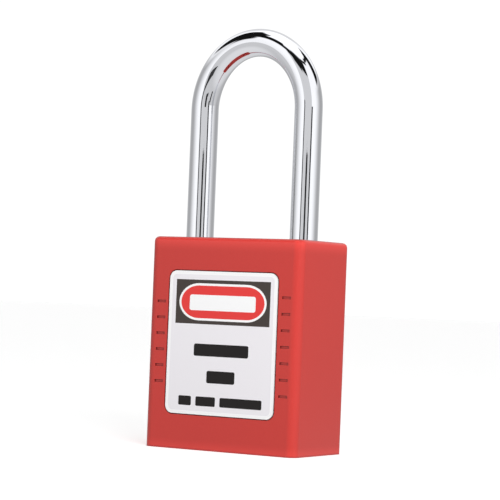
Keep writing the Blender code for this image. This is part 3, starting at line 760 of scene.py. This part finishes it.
# Areas of one tone each that the padlock sees in the studio, painted in this order: azimuths in degrees to
# the right of the camera, heights in degrees above the horizon, tone, and the edges' softness in degrees.
SCREENS = (
    ((-39, 23.5), (-90, 34), 0.70, 1.0),
    ((-123.5, -68), (28.5, 69), 0.008, 2.5),
    ((-78, -66), (23, 36), 0.008, 2.0),
    ((-71, -35), (37.5, 57), 0.006, 1.5),
    ((-38, 22), (34, 50.5), 0.008, 1.5),
    ((-31, -9), (30.5, 36), 0.008, 1.5),
    ((-20, 18), (49, 53.5), 0.02, 2.0),
    ((16, 50), (50, 54.5), 0.008, 1.0),
    ((47, 90), (53.5, 58.5), 0.008, 1.2),
    ((88, 123), (26, 61), 0.006, 3.0),
    ((150, 200), (26, 58), 0.74, 7.0),
    ((-200, -150), (26, 58), 0.74, 7.0),
)


def sky_place(net):
    """Where in the studio a ray goes: degrees to the right of the camera, and degrees above the horizon."""
    direction = net.node("ShaderNodeTexCoord").outputs["Generated"]
    forward = net.vector("DOT_PRODUCT", direction, studio_azimuth(0))
    sideways = net.vector("DOT_PRODUCT", direction, studio_azimuth(90))
    up = net.node("ShaderNodeSeparateXYZ", {0: direction}).outputs["Z"]
    azimuth = net.math("DEGREES", net.math("ARCTAN2", sideways, forward))
    return azimuth, net.math("DEGREES", net.math("ARCSINE", up))


def make_studio():
    """A white tent: side boxes, a paler screen in front, a bright roof, and dark gaps between them."""
    world = bpy.data.worlds.new("studio")
    bpy.context.scene.world = world
    world.use_nodes = True
    net = Net(world.node_tree)
    world.node_tree.nodes.clear()
    azimuth, height = sky_place(net)
    away = net.math("ABSOLUTE", azimuth)
    level = net.rise(away, 50.0, 110.0, SIDE_FRONT, SIDE_REAR)
    level = net.math("ADD", level, net.rise(away, 125.0, 180.0, 0.0, FAR_END))
    level = net.blend(level, net.rise(height, 19.0, 30.0), UPPER_SCREENS)
    level = net.blend(level, net.rise(height, 55.0, 62.0), ROOF)
    for azimuths, heights, tone, soft in SCREENS:
        across = net.between(azimuth, *azimuths, soft)
        upward = net.between(height, *heights, soft)
        level = net.blend(level, net.math("MULTIPLY", across, upward), tone)
    path = net.node("ShaderNodeLightPath").outputs
    matt_roof = net.math("MULTIPLY", net.rise(height, 38.0, 50.0), path["Is Diffuse Ray"])
    level = net.blend(level, matt_roof, ROOF_LIGHT)
    level = net.blend(level, path["Is Camera Ray"], BACKDROP)
    background = net.node("ShaderNodeBackground", {"Color": WHITE, "Strength": level})
    output = net.node("ShaderNodeOutputWorld")
    net.put(output.inputs["Surface"], background.outputs[0])


def make_key_light():
    """A soft light beside the camera that models the rounded corner. Reflections don't show it."""
    data = bpy.data.lights.new("key", "AREA")
    data.size = KEY_SIZE
    data.energy = KEY_POWER
    key = bpy.data.objects.new("key", data)
    height = math.radians(KEY_HEIGHT)
    back = studio_azimuth(KEY_AZIMUTH) * math.cos(height) + Vector((0, 0, math.sin(height)))
    key.location = KEY_TARGET + back * KEY_DISTANCE
    key.rotation_mode = "QUATERNION"
    key.rotation_quaternion = (-back).to_track_quat("-Z", "Y")
    key.visible_glossy = False
    bpy.context.scene.collection.objects.link(key)


# ---------------------------------------------------------------- assembly

bpy.context.scene.view_settings.view_transform = "Standard"
make_camera()
make_floor()
make_cards()
make_studio()
make_key_light()

NYLON = red_nylon()
VINYL = printed("label_vinyl", rgb(0.89, 0.865, 0.90), 0.24, rgb(0.87, 0.845, 0.88))
INK_HEADER = printed("ink_header", rgb(0.054, 0.042, 0.037), 0.30, rgb(0.062, 0.050, 0.045), 0.25)
INK_DARK = printed("ink_dark", rgb(0.006, 0.004, 0.004), 0.30, rgb(0.010, 0.008, 0.008), 0.25)
INK_WHITE = printed("ink_white", rgb(0.99, 0.99, 0.995), 0.24, rgb(0.975, 0.975, 0.98))
INK_RED = printed("ink_red", rgb(0.82, 0.030, 0.028), 0.24, rgb(0.78, 0.036, 0.032))
CHROME = chrome()
BRASS = turned_brass()
STEEL = metal("bright_steel", rgb(0.48, 0.48, 0.49), rgb(0.62, 0.62, 0.63), 0.30, 1800, (1, 1, 0.1))
SPRING_STEEL = metal("spring_steel", rgb(0.40, 0.40, 0.41), rgb(0.58, 0.58, 0.60), 0.34, 2600)
ZINC = metal("zinc_casting", rgb(0.36, 0.37, 0.38), rgb(0.50, 0.50, 0.51), 0.46, 700, depth=0.04 * MM)

body_shell(NYLON)
bottom_cover(NYLON)
front_label(VINYL, INK_HEADER, INK_DARK, INK_WHITE, INK_RED)
back_label(VINYL, INK_HEADER, INK_DARK, INK_WHITE)
shackle(CHROME)
plug_core(BRASS)
springs(SPRING_STEEL)
dress(BRASS, "chamber_cap", *(f"key_pin_{n}" for n in PINS))
dress(ZINC, "cylinder_housing", "bolt_guide")
dress(SPRING_STEEL, "shackle_ring", "plug_ring")
dress(STEEL, "cover_screw", "tailpiece", "locking_bolt", *(f"driver_pin_{n}" for n in PINS))

corners = {"cad": CAD_BOX, "visual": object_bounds()}
{name: [list(low), list(high)] for name, (low, high) in corners.items()}
